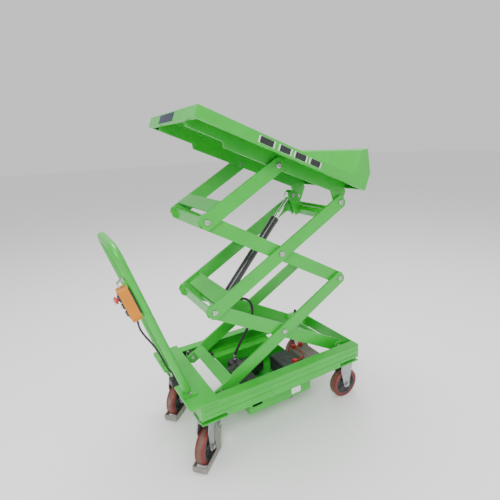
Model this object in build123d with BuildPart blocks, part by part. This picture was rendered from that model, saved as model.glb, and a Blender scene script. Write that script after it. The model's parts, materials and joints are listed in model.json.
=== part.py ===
from build123d import *
from math import acos, atan2, cos, degrees, hypot, pi, radians, sin, tan
import os

os.makedirs("parts", exist_ok=True)

# Mobile double scissor lift table with a tilting platform.
# X runs along the table (push handle at -X), Y across it, Z up.
# Pieces are drawn about the middle of the base frame and then moved along X, so that
# the origin is on the floor under the middle of the whole table. Millimetres.

# ---- driving dimensions -------------------------------------------------
origin_shift = 84
base_width = 500
base_left = -395
base_right = 445
rail_bottom = 230
rail_top = 295
rail_sheet = 5
rail_flange = 46

arm_length = 756
arm_width = 60
arm_sheet = 10
arm_reach = 26
arm_clip = 14
lift_angle = 29.16
pivot_x = 387
pivot_z = 267

inner_face = 148
layer_gap = 4
pin_dia = 16
pin_head_dia = 24
pin_head_height = 6
running_fit = 0.05
collar_fit = 0.3
tilt_fit = 0.8
cylinder_fit = 9.0

deck_half_width = 268
deck_left = -798
deck_right = 28
deck_top = 112
skirt_bottom = 70
deck_sheet = 3
tilt_joint_u = -379
tilt_joint_v = 47
tilt_link_length = 376

roller_dia = 44
roller_width = 26
wheel_dia = 150
wheel_width = 42
caster_height = 204
plate_sheet = 6

handle_dia = 32
handle_foot_x = -413
handle_foot_y = 145
handle_top_x = -610
handle_top_z = 960

barrel_dia = 40
rod_dia = 20
cylinder_y = 45

# ---- the linkage at the modelled height ---------------------------------
reach = arm_length * cos(radians(lift_angle))
rise = arm_length * sin(radians(lift_angle))
left_x = pivot_x - reach
elbow_z = pivot_z + rise
top_z = pivot_z + 2 * rise
outer_face = inner_face + arm_sheet + layer_gap
pin_end = outer_face + arm_sheet

# the tilt link and the platform close a triangle with the two top pins
pin_span = hypot(tilt_joint_u, tilt_joint_v)
link_corner = degrees(acos((reach**2 + tilt_link_length**2 - pin_span**2)
                           / (2 * reach * tilt_link_length)))
pin_corner = degrees(acos((reach**2 + pin_span**2 - tilt_link_length**2)
                          / (2 * reach * pin_span)))
link_angle = link_corner
tilt_angle = pin_corner - degrees(atan2(tilt_joint_v, -tilt_joint_u))


def side_plane(x, z, angle, y):
    """Upright plane at y whose first axis leans by angle; it extrudes towards -Y."""
    lean = radians(angle)
    return Plane(origin=(x, y, z), x_dir=(cos(lean), 0, sin(lean)), z_dir=(0, -1, 0))


def bar_profile(length, *bores):
    """Flat bar from pin to pin with clipped corners and its bores."""
    with BuildSketch() as profile:
        with Locations((length / 2, 0)):
            Rectangle(length + 2 * arm_reach, arm_width)
        chamfer(profile.vertices(), arm_clip)
        for along, bore in bores:
            with Locations((along, 0)):
                Circle(bore / 2, mode=Mode.SUBTRACT)
    return profile.sketch


def finish(part, name):
    """Name a finished piece, set it in the table's frame and write it."""
    placed = part.moved(Location((origin_shift, 0, 0)))
    placed.label = name
    export_step(placed, "parts/" + name + ".step")
    print(name, round(placed.volume), len(placed.solids()))


fixed_bore = pin_dia
free_bore = pin_dia + 2 * running_fit

# ---- base frame ----------------------------------------------------------
half = base_width / 2
track_top = pivot_z - roller_dia / 2
flange_edge = half - rail_flange
skirt_left = -282
skirt_right = 328
skirt_foot = 206
with BuildPart() as side_rails:
    for side in (-1, 1):
        with BuildSketch(Plane.YZ.offset(base_left)):
            with BuildLine():
                Polyline(
                    (side * half, rail_bottom),
                    (side * half, rail_top),
                    (side * flange_edge, rail_top),
                    (side * flange_edge, rail_top - rail_sheet),
                    (side * (half - rail_sheet), rail_top - rail_sheet),
                    (side * (half - rail_sheet), track_top),
                    (side * flange_edge, track_top),
                    (side * flange_edge, rail_bottom),
                    close=True,
                )
            make_face()
        extrude(amount=base_right - base_left - rail_sheet)
        with BuildSketch(Plane.XY.offset(skirt_foot)):
            with Locations(((skirt_left + skirt_right) / 2, side * (half - 2))):
                Rectangle(skirt_right - skirt_left, 4)
        extrude(amount=rail_bottom - skirt_foot)
finish(side_rails.part, "side_rails")

with BuildPart() as end_plates:
    for x in (base_left - rail_sheet, base_right - rail_sheet):
        with BuildSketch(Plane.YZ.offset(x)):
            with Locations((0, (rail_top + rail_bottom) / 2)):
                Rectangle(base_width, rail_top - rail_bottom)
        extrude(amount=rail_sheet)
finish(end_plates.part, "end_plates")

deck_strip_left = -446
deck_strip_right = -321
deck_strip_top = 306
deck_strip_sheet = 9
deck_strip_half = 258
notch_near = -75
notch_far = 65
notch_depth = 46
strip_middle = (base_left + deck_strip_right) / 2
with BuildPart() as handle_deck:
    with BuildSketch(Plane.XY.offset(deck_strip_top - deck_strip_sheet)) as deck_outline:
        with Locations(((deck_strip_left + deck_strip_right) / 2, 0)):
            Rectangle(deck_strip_right - deck_strip_left, 2 * deck_strip_half)
        chamfer(deck_outline.vertices().group_by(Axis.X)[0], 10)
        with Locations((deck_strip_left + notch_depth / 2, (notch_near + notch_far) / 2)):
            Rectangle(notch_depth, notch_far - notch_near, mode=Mode.SUBTRACT)
    extrude(amount=deck_strip_sheet)
    with BuildSketch(Plane.XY.offset(rail_top)):
        with Locations((strip_middle, half - 20), (strip_middle, 20 - half)):
            Rectangle(deck_strip_right - base_left - 10, 36)
    extrude(amount=deck_strip_top - deck_strip_sheet - rail_top)
finish(handle_deck.part, "handle_deck")

# C-shaped corner brackets, open outwards, that the casters bolt to
bolt_dia = 10
bolt_pitch_x = 78
bolt_pitch_y = 56
left_caster_x = -350
left_caster_y = 184
right_caster_x = 392
right_caster_y = 201
bracket_bottom = caster_height
bracket_sheet = 5
left_bracket = (base_left - rail_sheet, -285, 112)
right_bracket = (332, base_right, 158)
with BuildPart() as frame_brackets:
    for x0, x1, inner in (left_bracket, right_bracket):
        for side in (-1, 1):
            with BuildSketch(Plane.YZ.offset(x0)):
                with BuildLine():
                    Polyline(
                        (side * half, bracket_bottom),
                        (side * inner, bracket_bottom),
                        (side * inner, rail_bottom),
                        (side * half, rail_bottom),
                        (side * half, rail_bottom - bracket_sheet),
                        (side * (inner + bracket_sheet), rail_bottom - bracket_sheet),
                        (side * (inner + bracket_sheet), bracket_bottom + bracket_sheet),
                        (side * half, bracket_bottom + bracket_sheet),
                        close=True,
                    )
                make_face()
            extrude(amount=x1 - x0)
    with Locations(*[
        (x, side * y, bracket_bottom + bracket_sheet)
        for x, y in ((left_caster_x, left_caster_y), (right_caster_x, right_caster_y))
        for side in (-1, 1)
    ]):
        with GridLocations(bolt_pitch_x, bolt_pitch_y, 2, 2):
            Hole(bolt_dia / 2, depth=bracket_sheet)
    # upright brackets that carry the fixed pivot of the lower arms
    for y in (-outer_face, pin_end):
        with BuildSketch(Plane(origin=(0, y, 0), x_dir=(1, 0, 0), z_dir=(0, -1, 0))):
            with BuildLine():
                Polyline(
                    (pivot_x - 32, rail_bottom),
                    (pivot_x - 24, pivot_z + 14),
                    (pivot_x - 12, pivot_z + 23),
                    (pivot_x + 16, pivot_z + 23),
                    (base_right - rail_sheet, pivot_z + 8),
                    (base_right - rail_sheet, rail_bottom),
                    close=True,
                )
            make_face()
            with Locations((pivot_x, pivot_z)):
                Circle(fixed_bore / 2, mode=Mode.SUBTRACT)
        extrude(amount=arm_sheet)
finish(frame_brackets.part, "frame_brackets")


def pin_pair(x, z):
    """Pivot pins on both sides: shank, thrust collar between the layers and flat head."""
    with BuildPart() as pins:
        for side in (-1, 1):
            for y0, y1, dia in (
                (inner_face, pin_end, pin_dia),
                (inner_face + arm_sheet + collar_fit, outer_face - collar_fit, pin_head_dia + 4),
                (pin_end, pin_end + pin_head_height, pin_head_dia),
            ):
                with BuildSketch(side_plane(x, z, 0, y1 if side > 0 else -y0)):
                    Circle(dia / 2)
                extrude(amount=y1 - y0)
        heads = pins.faces().filter_by(Axis.Y).sort_by(Axis.Y)
        chamfer([heads[0].outer_wire().edges()[0], heads[-1].outer_wire().edges()[0]], 1)
    return pins.part


centre_x = (left_x + pivot_x) / 2
lower_centre_z = (pivot_z + elbow_z) / 2
upper_centre_z = (elbow_z + top_z) / 2
inner_sides = (-inner_face, inner_face + arm_sheet)
outer_sides = (-outer_face, pin_end)
finish(pin_pair(pivot_x, pivot_z), "base_pivot_pins")

# ---- lower inner frame: fixed pivot at the right, elbow at the left -------
cylinder_pivot_along = 139
lug_sheet = 8
eye_width = 24
lug_gap = eye_width + 0.8
lug_radius = 20
cross_tube_dia = 30
cross_tube_along = 92
tie_tube_dia = 24
tie_tube_back = 110
tie_tube_lift = 12
strip_top = (-19, 11)
strip_foot = (12, -29)
strip_half_sheet = (2.4, 1.8)


def end_strip():
    """Section of the cross strip that closes the end of a pair of arms."""
    with BuildSketch() as strip:
        with BuildLine():
            Polyline(
                (strip_top[0] - strip_half_sheet[0], strip_top[1] - strip_half_sheet[1]),
                (strip_foot[0] - strip_half_sheet[0], strip_foot[1] - strip_half_sheet[1]),
                (strip_foot[0] + strip_half_sheet[0], strip_foot[1] + strip_half_sheet[1]),
                (strip_top[0] + strip_half_sheet[0], strip_top[1] + strip_half_sheet[1]),
                close=True,
            )
        make_face()
    return strip.sketch


with BuildPart() as lower_inner_frame:
    for y in inner_sides:
        with BuildSketch(side_plane(left_x, elbow_z, -lift_angle, y)):
            add(bar_profile(arm_length, (0, fixed_bore), (arm_length / 2, fixed_bore), (arm_length, free_bore)))
        extrude(amount=arm_sheet)
    with BuildSketch(side_plane(left_x, elbow_z, -lift_angle, inner_face)):
        add(end_strip())
        with Locations((cross_tube_along, 0)):
            Circle(cross_tube_dia / 2)
        with Locations((arm_length - tie_tube_back, tie_tube_lift)):
            Circle(tie_tube_dia / 2)
    extrude(amount=2 * inner_face)
    for y in (cylinder_y - lug_gap / 2, cylinder_y + lug_gap / 2 + lug_sheet):
        with BuildSketch(side_plane(left_x, elbow_z, -lift_angle, y)):
            with Locations(((cross_tube_along + cylinder_pivot_along) / 2, 0)):
                Rectangle(cylinder_pivot_along - cross_tube_along, 2 * lug_radius)
            with Locations((cylinder_pivot_along, 0)):
                Circle(lug_radius)
                Circle(fixed_bore / 2, mode=Mode.SUBTRACT)
        extrude(amount=lug_sheet)
finish(lower_inner_frame.part, "lower_inner_frame")

barrel_x = left_x + cylinder_pivot_along * cos(radians(lift_angle))
barrel_z = elbow_z - cylinder_pivot_along * sin(radians(lift_angle))


def cross_pin(x, z, dia):
    """Clevis pin of the cylinder with a flat head at each end."""
    grip = lug_gap / 2 + lug_sheet
    with BuildPart() as pin:
        for width, size in ((grip, dia), (grip + 4, dia + 8)):
            with BuildSketch(side_plane(x, z, 0, cylinder_y + width)):
                Circle(size / 2)
            extrude(amount=2 * width)
            if size > dia:
                with BuildSketch(side_plane(x, z, 0, cylinder_y + grip)):
                    Circle(size / 2)
                    Circle(dia / 2, mode=Mode.SUBTRACT)
                extrude(amount=2 * grip, mode=Mode.SUBTRACT)
    return pin.part


with BuildPart() as lower_inner_pins:
    add(pin_pair(left_x, elbow_z))
    add(pin_pair(centre_x, lower_centre_z))
    add(cross_pin(barrel_x, barrel_z, pin_dia))
finish(lower_inner_pins.part, "lower_inner_pins")

# ---- lower outer frame: roller end at the left, elbow at the right --------
taper_top = 22
taper_from = 62
taper_to = 92
with BuildPart() as lower_outer_frame:
    for y in outer_sides:
        with BuildSketch(side_plane(left_x, pivot_z, lift_angle, y)):
            add(bar_profile(arm_length, (0, fixed_bore), (arm_length / 2, free_bore), (arm_length, fixed_bore)))
            with BuildLine():
                Polyline(
                    (-arm_reach - 1, taper_top),
                    (taper_from, taper_top),
                    (taper_to, arm_width / 2 + 1),
                    (-arm_reach - 1, arm_width / 2 + 1),
                    close=True,
                )
            make_face(mode=Mode.SUBTRACT)
        extrude(amount=arm_sheet)
    with BuildSketch(side_plane(left_x, pivot_z, lift_angle, outer_face)):
        with Locations((46, taper_top - 3)):
            Rectangle(50, plate_sheet)
    extrude(amount=2 * outer_face)
finish(lower_outer_frame.part, "lower_outer_frame")
finish(pin_pair(pivot_x, elbow_z), "right_elbow_pins")

roller_inner = half - rail_sheet - 7 - roller_width
with BuildPart() as roller_axles:
    for side in (-1, 1):
        for y0, y1, dia in (
            (outer_face, roller_inner + roller_width + 4, pin_dia),
            (pin_end, roller_inner - collar_fit, pin_head_dia + 4),
            (roller_inner + roller_width + collar_fit, roller_inner + roller_width + 4, pin_head_dia),
        ):
            with BuildSketch(side_plane(left_x, pivot_z, 0, y1 if side > 0 else -y0)):
                Circle(dia / 2)
            extrude(amount=y1 - y0)
finish(roller_axles.part, "roller_axles")

for side, name in ((-1, "near_roller"), (1, "far_roller")):
    with BuildPart() as roller:
        edge = roller_inner + roller_width if side > 0 else -roller_inner
        with BuildSketch(side_plane(left_x, pivot_z, 0, edge)):
            Circle(roller_dia / 2 - 0.1)
            Circle(free_bore / 2, mode=Mode.SUBTRACT)
        extrude(amount=roller_width)
        rims = roller.edges().filter_by(GeomType.CIRCLE).group_by(SortBy.RADIUS)[-1]
        chamfer(rims, 1.5)
    finish(roller.part, name)

# ---- upper outer frame: elbow at the left, platform pivot at the right ----
cylinder_top_back = 95
cylinder_top_lift = 85
top_lug_radius = 24
top_pin_dia = 12
plate_half = inner_face - 3
with BuildPart() as upper_outer_frame:
    for y in outer_sides:
        with BuildSketch(side_plane(left_x, elbow_z, lift_angle, y)):
            add(bar_profile(arm_length, (0, free_bore), (arm_length / 2, fixed_bore), (arm_length, fixed_bore)))
        extrude(amount=arm_sheet)
    with BuildSketch(side_plane(left_x, elbow_z, lift_angle, plate_half)):
        with Locations((64, 17)):
            Rectangle(72, plate_sheet)
    extrude(amount=2 * plate_half)
    with BuildSketch(side_plane(left_x, elbow_z, lift_angle, outer_face)):
        with Locations((95, 17)):
            Rectangle(10, plate_sheet)
        with Locations((arm_length - 95, 0)):
            Rectangle(30, 30)
        with Locations((arm_length - 51, 0)):
            Rectangle(20, plate_sheet)
    extrude(amount=2 * outer_face)
    for y in (cylinder_y - lug_gap / 2, cylinder_y + lug_gap / 2 + lug_sheet):
        with BuildSketch(side_plane(left_x, elbow_z, lift_angle, y)):
            with BuildLine():
                Polyline(
                    (arm_length - cylinder_top_back - 34, -10),
                    (arm_length - cylinder_top_back - top_lug_radius, cylinder_top_lift),
                    (arm_length - cylinder_top_back + top_lug_radius, cylinder_top_lift),
                    (arm_length - cylinder_top_back + 22, -10),
                    close=True,
                )
            make_face()
            with Locations((arm_length - cylinder_top_back, cylinder_top_lift)):
                Circle(top_lug_radius)
                Circle(top_pin_dia / 2, mode=Mode.SUBTRACT)
        extrude(amount=lug_sheet)
finish(upper_outer_frame.part, "upper_outer_frame")

lean = radians(lift_angle)
rod_x = pivot_x - cylinder_top_back * cos(lean) - cylinder_top_lift * sin(lean)
rod_z = top_z - cylinder_top_back * sin(lean) + cylinder_top_lift * cos(lean)
with BuildPart() as upper_outer_pins:
    add(pin_pair(centre_x, upper_centre_z))
    add(pin_pair(pivot_x, top_z))
    add(cross_pin(rod_x, rod_z, top_pin_dia))
finish(upper_outer_pins.part, "upper_outer_pins")

# ---- upper inner frame: top pivot at the left, elbow at the right ---------
top_bore = free_bore + 0.1
with BuildPart() as upper_inner_frame:
    for y in inner_sides:
        with BuildSketch(side_plane(left_x, top_z, -lift_angle, y)):
            add(bar_profile(arm_length, (0, fixed_bore), (arm_length / 2, free_bore), (arm_length, top_bore)))
        extrude(amount=arm_sheet)
    with BuildSketch(side_plane(left_x, top_z, -lift_angle, inner_face)):
        add(end_strip())
        with Locations((arm_length - tie_tube_back, tie_tube_lift)):
            Circle(tie_tube_dia / 2)
    extrude(amount=2 * inner_face)
finish(upper_inner_frame.part, "upper_inner_frame")
finish(pin_pair(left_x, top_z), "left_top_pins")

# ---- tilt link under the left end of the platform -------------------------
with BuildPart() as tilt_link:
    for y in outer_sides:
        with BuildSketch(side_plane(left_x, top_z, link_angle, y)):
            add(bar_profile(tilt_link_length, (0, free_bore), (tilt_link_length, fixed_bore)))
        extrude(amount=arm_sheet)
    with BuildSketch(side_plane(left_x, top_z, link_angle, outer_face)):
        with Locations((59.5, 28)):
            Rectangle(65, plate_sheet)
    extrude(amount=2 * outer_face)
finish(tilt_link.part, "tilt_link")
link_x = left_x + tilt_link_length * cos(radians(link_angle))
link_z = top_z + tilt_link_length * sin(radians(link_angle))
finish(pin_pair(link_x, link_z), "tilt_link_pins")

# ---- platform --------------------------------------------------------------
lip = 15
with BuildPart() as platform_deck:
    with BuildSketch(side_plane(pivot_x, top_z, -tilt_angle, deck_half_width)):
        with Locations(((deck_left + deck_right) / 2, (deck_top + skirt_bottom) / 2)):
            Rectangle(deck_right - deck_left, deck_top - skirt_bottom)
    extrude(amount=2 * deck_half_width)
    with BuildSketch(side_plane(pivot_x, top_z, -tilt_angle, deck_half_width - deck_sheet)):
        with Locations(((deck_left + deck_right) / 2, (deck_top + skirt_bottom) / 2)):
            Rectangle(deck_right - deck_left - 2 * deck_sheet, deck_top - skirt_bottom - 2 * deck_sheet)
    extrude(amount=2 * (deck_half_width - deck_sheet), mode=Mode.SUBTRACT)
    with BuildSketch(side_plane(pivot_x, top_z, -tilt_angle, deck_half_width - lip)):
        with Locations(((deck_left + deck_right) / 2, skirt_bottom + deck_sheet / 2)):
            Rectangle(deck_right - deck_left - 2 * lip, 2 * deck_sheet)
    extrude(amount=2 * (deck_half_width - lip), mode=Mode.SUBTRACT)
finish(platform_deck.part, "platform_deck")

beam_top = deck_top - deck_sheet
beam_flange = 30
with BuildPart() as platform_beams:
    for side in (-1, 1):
        web_face = inner_face + arm_sheet if side > 0 else -inner_face
        with BuildSketch(side_plane(pivot_x, top_z, -tilt_angle, web_face)):
            with BuildLine():
                Polyline(
                    (deck_left + 16, beam_top),
                    (deck_left + 16, 54),
                    (deck_left + 166, 54),
                    (deck_left + 178, 34),
                    (-60, 34),
                    (-24, -6),
                    (-12, -18),
                    (14, -18),
                    (22, -8),
                    (22, 58),
                    (12, 66),
                    (12, beam_top),
                    close=True,
                )
            make_face()
            with Locations((tilt_joint_u, tilt_joint_v)):
                Circle(pin_dia / 2 + tilt_fit, mode=Mode.SUBTRACT)
            with Locations((0, 0)):
                Circle(free_bore / 2, mode=Mode.SUBTRACT)
        extrude(amount=arm_sheet)
        flange_face = inner_face if side > 0 else beam_flange - inner_face
        with BuildSketch(side_plane(pivot_x, top_z, -tilt_angle, flange_face)):
            with Locations(((deck_left + 16 + 12) / 2, beam_top - plate_sheet / 2)):
                Rectangle(12 - deck_left - 16, plate_sheet)
        extrude(amount=beam_flange)
finish(platform_beams.part, "platform_beams")

# end stop: upright sheet with a folded-back top and a cheek at each side
stop_face = -60
stop_sheet = 4
stop_top = 219
stop_peak = (-29, 239)
with BuildPart() as end_stop:
    with BuildSketch(side_plane(pivot_x, top_z, -tilt_angle, deck_half_width)):
        with BuildLine():
            Polyline(
                (stop_face, deck_top),
                (stop_face, stop_top),
                stop_peak,
                (stop_peak[0] + 2, stop_peak[1] - 4),
                (stop_face + stop_sheet, stop_top - 3),
                (stop_face + stop_sheet, deck_top),
                close=True,
            )
        make_face()
    extrude(amount=2 * deck_half_width)
    for y in (deck_half_width, stop_sheet - deck_half_width):
        with BuildSketch(side_plane(pivot_x, top_z, -tilt_angle, y)):
            with BuildLine():
                Polyline(
                    (stop_face, deck_top),
                    (stop_face, stop_top),
                    stop_peak,
                    (deck_right, 148),
                    (deck_right, deck_top),
                    close=True,
                )
            make_face()
        extrude(amount=stop_sheet)
finish(end_stop.part, "end_stop")

# ---- hydraulic cylinder ----------------------------------------------------
# The rod eye has a wide bore, because its pin swings a little off the rod's line.
cylinder_span = hypot(rod_x - barrel_x, rod_z - barrel_z) - 0.14
cylinder_angle = degrees(atan2(rod_z - barrel_z, rod_x - barrel_x)) + 0.39
cyl_plane = side_plane(barrel_x, barrel_z, cylinder_angle, cylinder_y)
cyl_axis = Axis((barrel_x, cylinder_y, barrel_z), tuple(cyl_plane.x_dir))
barrel_end = 476
port_along = 62
with BuildPart() as cylinder_barrel:
    with BuildSketch(cyl_plane):
        with BuildLine():
            Polyline(
                (26, 0),
                (26, barrel_dia / 2),
                (barrel_end - 12, barrel_dia / 2),
                (barrel_end - 12, barrel_dia / 2 + 2),
                (barrel_end, barrel_dia / 2 + 2),
                (barrel_end, rod_dia / 2 + running_fit),
                (barrel_end - 22, rod_dia / 2 + running_fit),
                (barrel_end - 22, barrel_dia / 2 - 4),
                (42, barrel_dia / 2 - 4),
                (42, 0),
                close=True,
            )
        make_face()
    revolve(axis=cyl_axis)
    with BuildSketch(side_plane(barrel_x, barrel_z, cylinder_angle, cylinder_y + eye_width / 2)):
        Circle(22)
        with Locations((15, 0)):
            Rectangle(30, 30)
        Circle(free_bore / 2, mode=Mode.SUBTRACT)
    extrude(amount=eye_width)
    with BuildSketch(Plane(
        origin=cyl_plane.from_local_coords((port_along, -18, 0)),
        x_dir=cyl_plane.x_dir,
        z_dir=-cyl_plane.y_dir,
    )):
        Circle(10)
    extrude(amount=14)
finish(cylinder_barrel.part, "cylinder_barrel")

piston_from = 290
eye_radius = top_pin_dia / 2 + cylinder_fit + 7
with BuildPart() as cylinder_rod:
    with BuildSketch(cyl_plane):
        with BuildLine():
            Polyline(
                (piston_from, 0),
                (piston_from, barrel_dia / 2 - 4 - running_fit),
                (piston_from + 24, barrel_dia / 2 - 4 - running_fit),
                (piston_from + 24, rod_dia / 2),
                (cylinder_span - eye_radius + 3, rod_dia / 2),
                (cylinder_span - eye_radius + 3, 0),
                close=True,
            )
        make_face()
    revolve(axis=cyl_axis)
    with BuildSketch(side_plane(barrel_x, barrel_z, cylinder_angle, cylinder_y + eye_width / 2)):
        with Locations((cylinder_span, 0)):
            Circle(eye_radius)
            Circle(top_pin_dia / 2 + cylinder_fit, mode=Mode.SUBTRACT)
    extrude(amount=eye_width)
finish(cylinder_rod.part, "cylinder_rod")


def route_tube(points, dia):
    """Round cord along straight runs joined by the largest arcs the runs allow."""
    radii = []
    for before, here, after in zip(points, points[1:], points[2:]):
        first = Vector(*here) - Vector(*before)
        second = Vector(*after) - Vector(*here)
        turn = radians(first.get_angle(second))
        radii.append(0.45 * min(first.length, second.length) / tan(turn / 2))
    print("radii", [round(r) for r in radii], "diameter", dia)
    with BuildPart() as tube:
        with BuildLine() as path:
            FilletPolyline(*points, radius=radii)
        with BuildSketch(Plane(origin=points[0], z_dir=path.line % 0)):
            Circle(dia / 2)
        sweep()
    length = path.wires()[0].length
    print("volume", round(tube.part.volume), "section x length", round(pi * dia**2 / 4 * length))
    return tube.part


hose_dia = 13
pump_port_x = -88
pump_port_y = 70
pump_port_z = 238
hose_start = cyl_plane.from_local_coords((port_along, -32.4, 0))
hose_points = [
    tuple(hose_start),
    tuple(cyl_plane.from_local_coords((port_along, -68, 0))),
    (-20, 49, 561),
    (12, 50, 532),
    (22, 53, 485),
    (12, 56, 432),
    (-14, 60, 386),
    (-42, 64, 342),
    (-68, 68, 298),
    (-86, 70, 266),
    (pump_port_x, pump_port_y, pump_port_z),
]
finish(route_tube(hose_points, hose_dia), "hydraulic_hose")

# ---- casters ---------------------------------------------------------------
wheel_radius = wheel_dia / 2
axle_dia = 12
fork_inner = 24
fork_sheet = 4
trail = 38
left_heading = 42
tread_depth = 18
rim_width = 11
hub_radius = wheel_radius - tread_depth
rim_radius = hub_radius - rim_width


def roll_plane(x, y, heading, offset):
    """Upright plane along the rolling direction; offset is towards its left."""
    turn = radians(heading)
    return Plane(
        origin=(x - offset * sin(turn), y + offset * cos(turn), 0),
        x_dir=(cos(turn), sin(turn), 0),
        z_dir=(sin(turn), -cos(turn), 0),
    )


def fork_part(x, y, heading, back, with_race):
    """Bent fork: two tapering cheeks, crown and, for a swivel fork, its race."""
    with BuildPart() as fork:
        crown_top = 190 if with_race else 198
        for offset in (-fork_inner, fork_inner + fork_sheet):
            with BuildSketch(roll_plane(x, y, heading, offset)):
                with BuildLine():
                    Polyline(
                        (-34 - back * 0.3, crown_top),
                        (34 - back * 0.3, crown_top),
                        (34 - back * 0.3, crown_top - 22),
                        (16 - back, wheel_radius - 6),
                        (-16 - back, wheel_radius - 6),
                        (-38 - back * 0.6, crown_top - 40),
                        close=True,
                    )
                make_face()
                with Locations((-back, wheel_radius)):
                    Circle(18)
                    Circle(axle_dia / 2, mode=Mode.SUBTRACT)
            extrude(amount=fork_sheet)
        with BuildSketch(roll_plane(x, y, heading, fork_inner)):
            with Locations((-back * 0.3, crown_top - 3)):
                Rectangle(68, 6)
        extrude(amount=2 * fork_inner)
        if with_race:
            with BuildSketch(Plane(origin=(x, y, 184), z_dir=(0, 0, 1))):
                Circle(30)
            extrude(amount=13.8)
    return fork.part


def caster_plate(x, y):
    """Caster top plate with its four bolt holes."""
    with BuildPart() as plate:
        with BuildSketch(Plane.XY.offset(caster_height - plate_sheet)):
            with Locations((x, y)):
                RectangleRounded(104, 84, 8)
                with GridLocations(bolt_pitch_x, bolt_pitch_y, 2, 2):
                    Circle(bolt_dia / 2, mode=Mode.SUBTRACT)
        extrude(amount=plate_sheet)
    return plate.part


def axle_part(x, y, heading, back):
    """Axle bolt through the fork with a nut at each end."""
    with BuildPart() as axle:
        grip = fork_inner + fork_sheet
        with BuildSketch(roll_plane(x, y, heading, grip + 12)):
            with Locations((-back, wheel_radius)):
                Circle(axle_dia / 2)
        extrude(amount=2 * (grip + 12))
        for offset in (-grip, grip + 9):
            with BuildSketch(roll_plane(x, y, heading, offset)):
                with Locations((-back, wheel_radius)):
                    RegularPolygon(11, 6)
            extrude(amount=9)
    return axle.part


def wheel_part(x, y, heading, back, name):
    """Tyre band bonded on the core of one wheel."""
    with BuildPart() as tread:
        with BuildSketch(roll_plane(x, y, heading, wheel_width / 2)):
            with Locations((-back, wheel_radius)):
                Circle(wheel_radius)
                Circle(hub_radius, mode=Mode.SUBTRACT)
        extrude(amount=wheel_width)
        fillet(tread.edges().filter_by(GeomType.CIRCLE).group_by(SortBy.RADIUS)[-1], 6)
    with BuildPart() as hub:
        for width, radius in ((30, hub_radius), (wheel_width, rim_radius), (2 * fork_inner - 1, 15)):
            if radius == rim_radius:
                with BuildSketch(roll_plane(x, y, heading, width / 2)):
                    with Locations((-back, wheel_radius)):
                        Circle(hub_radius)
                        Circle(radius, mode=Mode.SUBTRACT)
                extrude(amount=width)
            else:
                with BuildSketch(roll_plane(x, y, heading, width / 2)):
                    with Locations((-back, wheel_radius)):
                        Circle(radius)
                extrude(amount=width)
        with BuildSketch(roll_plane(x, y, heading, fork_inner)):
            with Locations((-back, wheel_radius)):
                Circle(axle_dia / 2 + running_fit)
        extrude(amount=2 * fork_inner, mode=Mode.SUBTRACT)
        add(tread.part.solids())
    finish(hub.part, name + "_wheel")


with BuildPart() as rigid_forks:
    for side in (-1, 1):
        add(fork_part(right_caster_x, side * right_caster_y, 0, 0, False))
        add(caster_plate(right_caster_x, side * right_caster_y))
finish(rigid_forks.part, "rigid_caster_forks")

with BuildPart() as right_axles:
    for side in (-1, 1):
        add(axle_part(right_caster_x, side * right_caster_y, 0, 0))
finish(right_axles.part, "right_axle_bolts")

with BuildPart() as swivel_plates:
    for side in (-1, 1):
        add(caster_plate(left_caster_x, side * left_caster_y))
finish(swivel_plates.part, "swivel_top_plates")

guard_front = wheel_radius + 5
guard_back = 34
guard_half = fork_inner + fork_sheet
pedal_hinge = (50, 98)
for side, name in ((-1, "near"), (1, "far")):
    cx = left_caster_x
    cy = side * left_caster_y
    finish(fork_part(cx, cy, left_heading, trail, True), name + "_swivel_fork")
    finish(axle_part(cx, cy, left_heading, trail), name + "_left_axle")
    wheel_part(cx, cy, left_heading, trail, name + "_left")
    wheel_part(right_caster_x, side * right_caster_y, 0, 0, name + "_right")
    with BuildPart() as guard:
        ahead = (cos(radians(left_heading)), sin(radians(left_heading)), 0)
        floor = Plane(origin=(cx, cy, 8), x_dir=ahead, z_dir=(0, 0, 1))
        with BuildSketch(floor):
            with Locations(((guard_back - trail - guard_front) / 2, 0)):
                Rectangle(guard_front + trail + guard_back, 2 * guard_half + 6)
                Rectangle(guard_front + trail + guard_back - 6, 2 * guard_half, mode=Mode.SUBTRACT)
        extrude(amount=26)
        for offset in (-guard_half, guard_half + 3):
            with BuildSketch(roll_plane(cx, cy, left_heading, offset)):
                with BuildLine():
                    Polyline(
                        (-8, 30),
                        (30, 30),
                        (pedal_hinge[0] + 10, pedal_hinge[1] + 8),
                        (pedal_hinge[0] - 14, pedal_hinge[1] + 8),
                        (12, 150),
                        (-4, 140),
                        (-14, 100),
                        close=True,
                    )
                make_face()
                with Locations(pedal_hinge):
                    Circle(3.05, mode=Mode.SUBTRACT)
            extrude(amount=3)
    finish(guard.part, name + "_toe_guard")
    with BuildPart() as pedal:
        with BuildSketch(roll_plane(cx, cy, left_heading, guard_half + 5)):
            with Locations(pedal_hinge):
                Circle(3)
        extrude(amount=2 * guard_half + 10)
        with BuildSketch(roll_plane(cx, cy, left_heading, 20)):
            with Locations(pedal_hinge):
                Circle(7)
            with BuildLine():
                Polyline((50, 95), (52, 104), (88, 116), (90, 112), (58, 95), close=True)
            make_face()
        extrude(amount=40)
    finish(pedal.part, name + "_brake_pedal")

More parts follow.
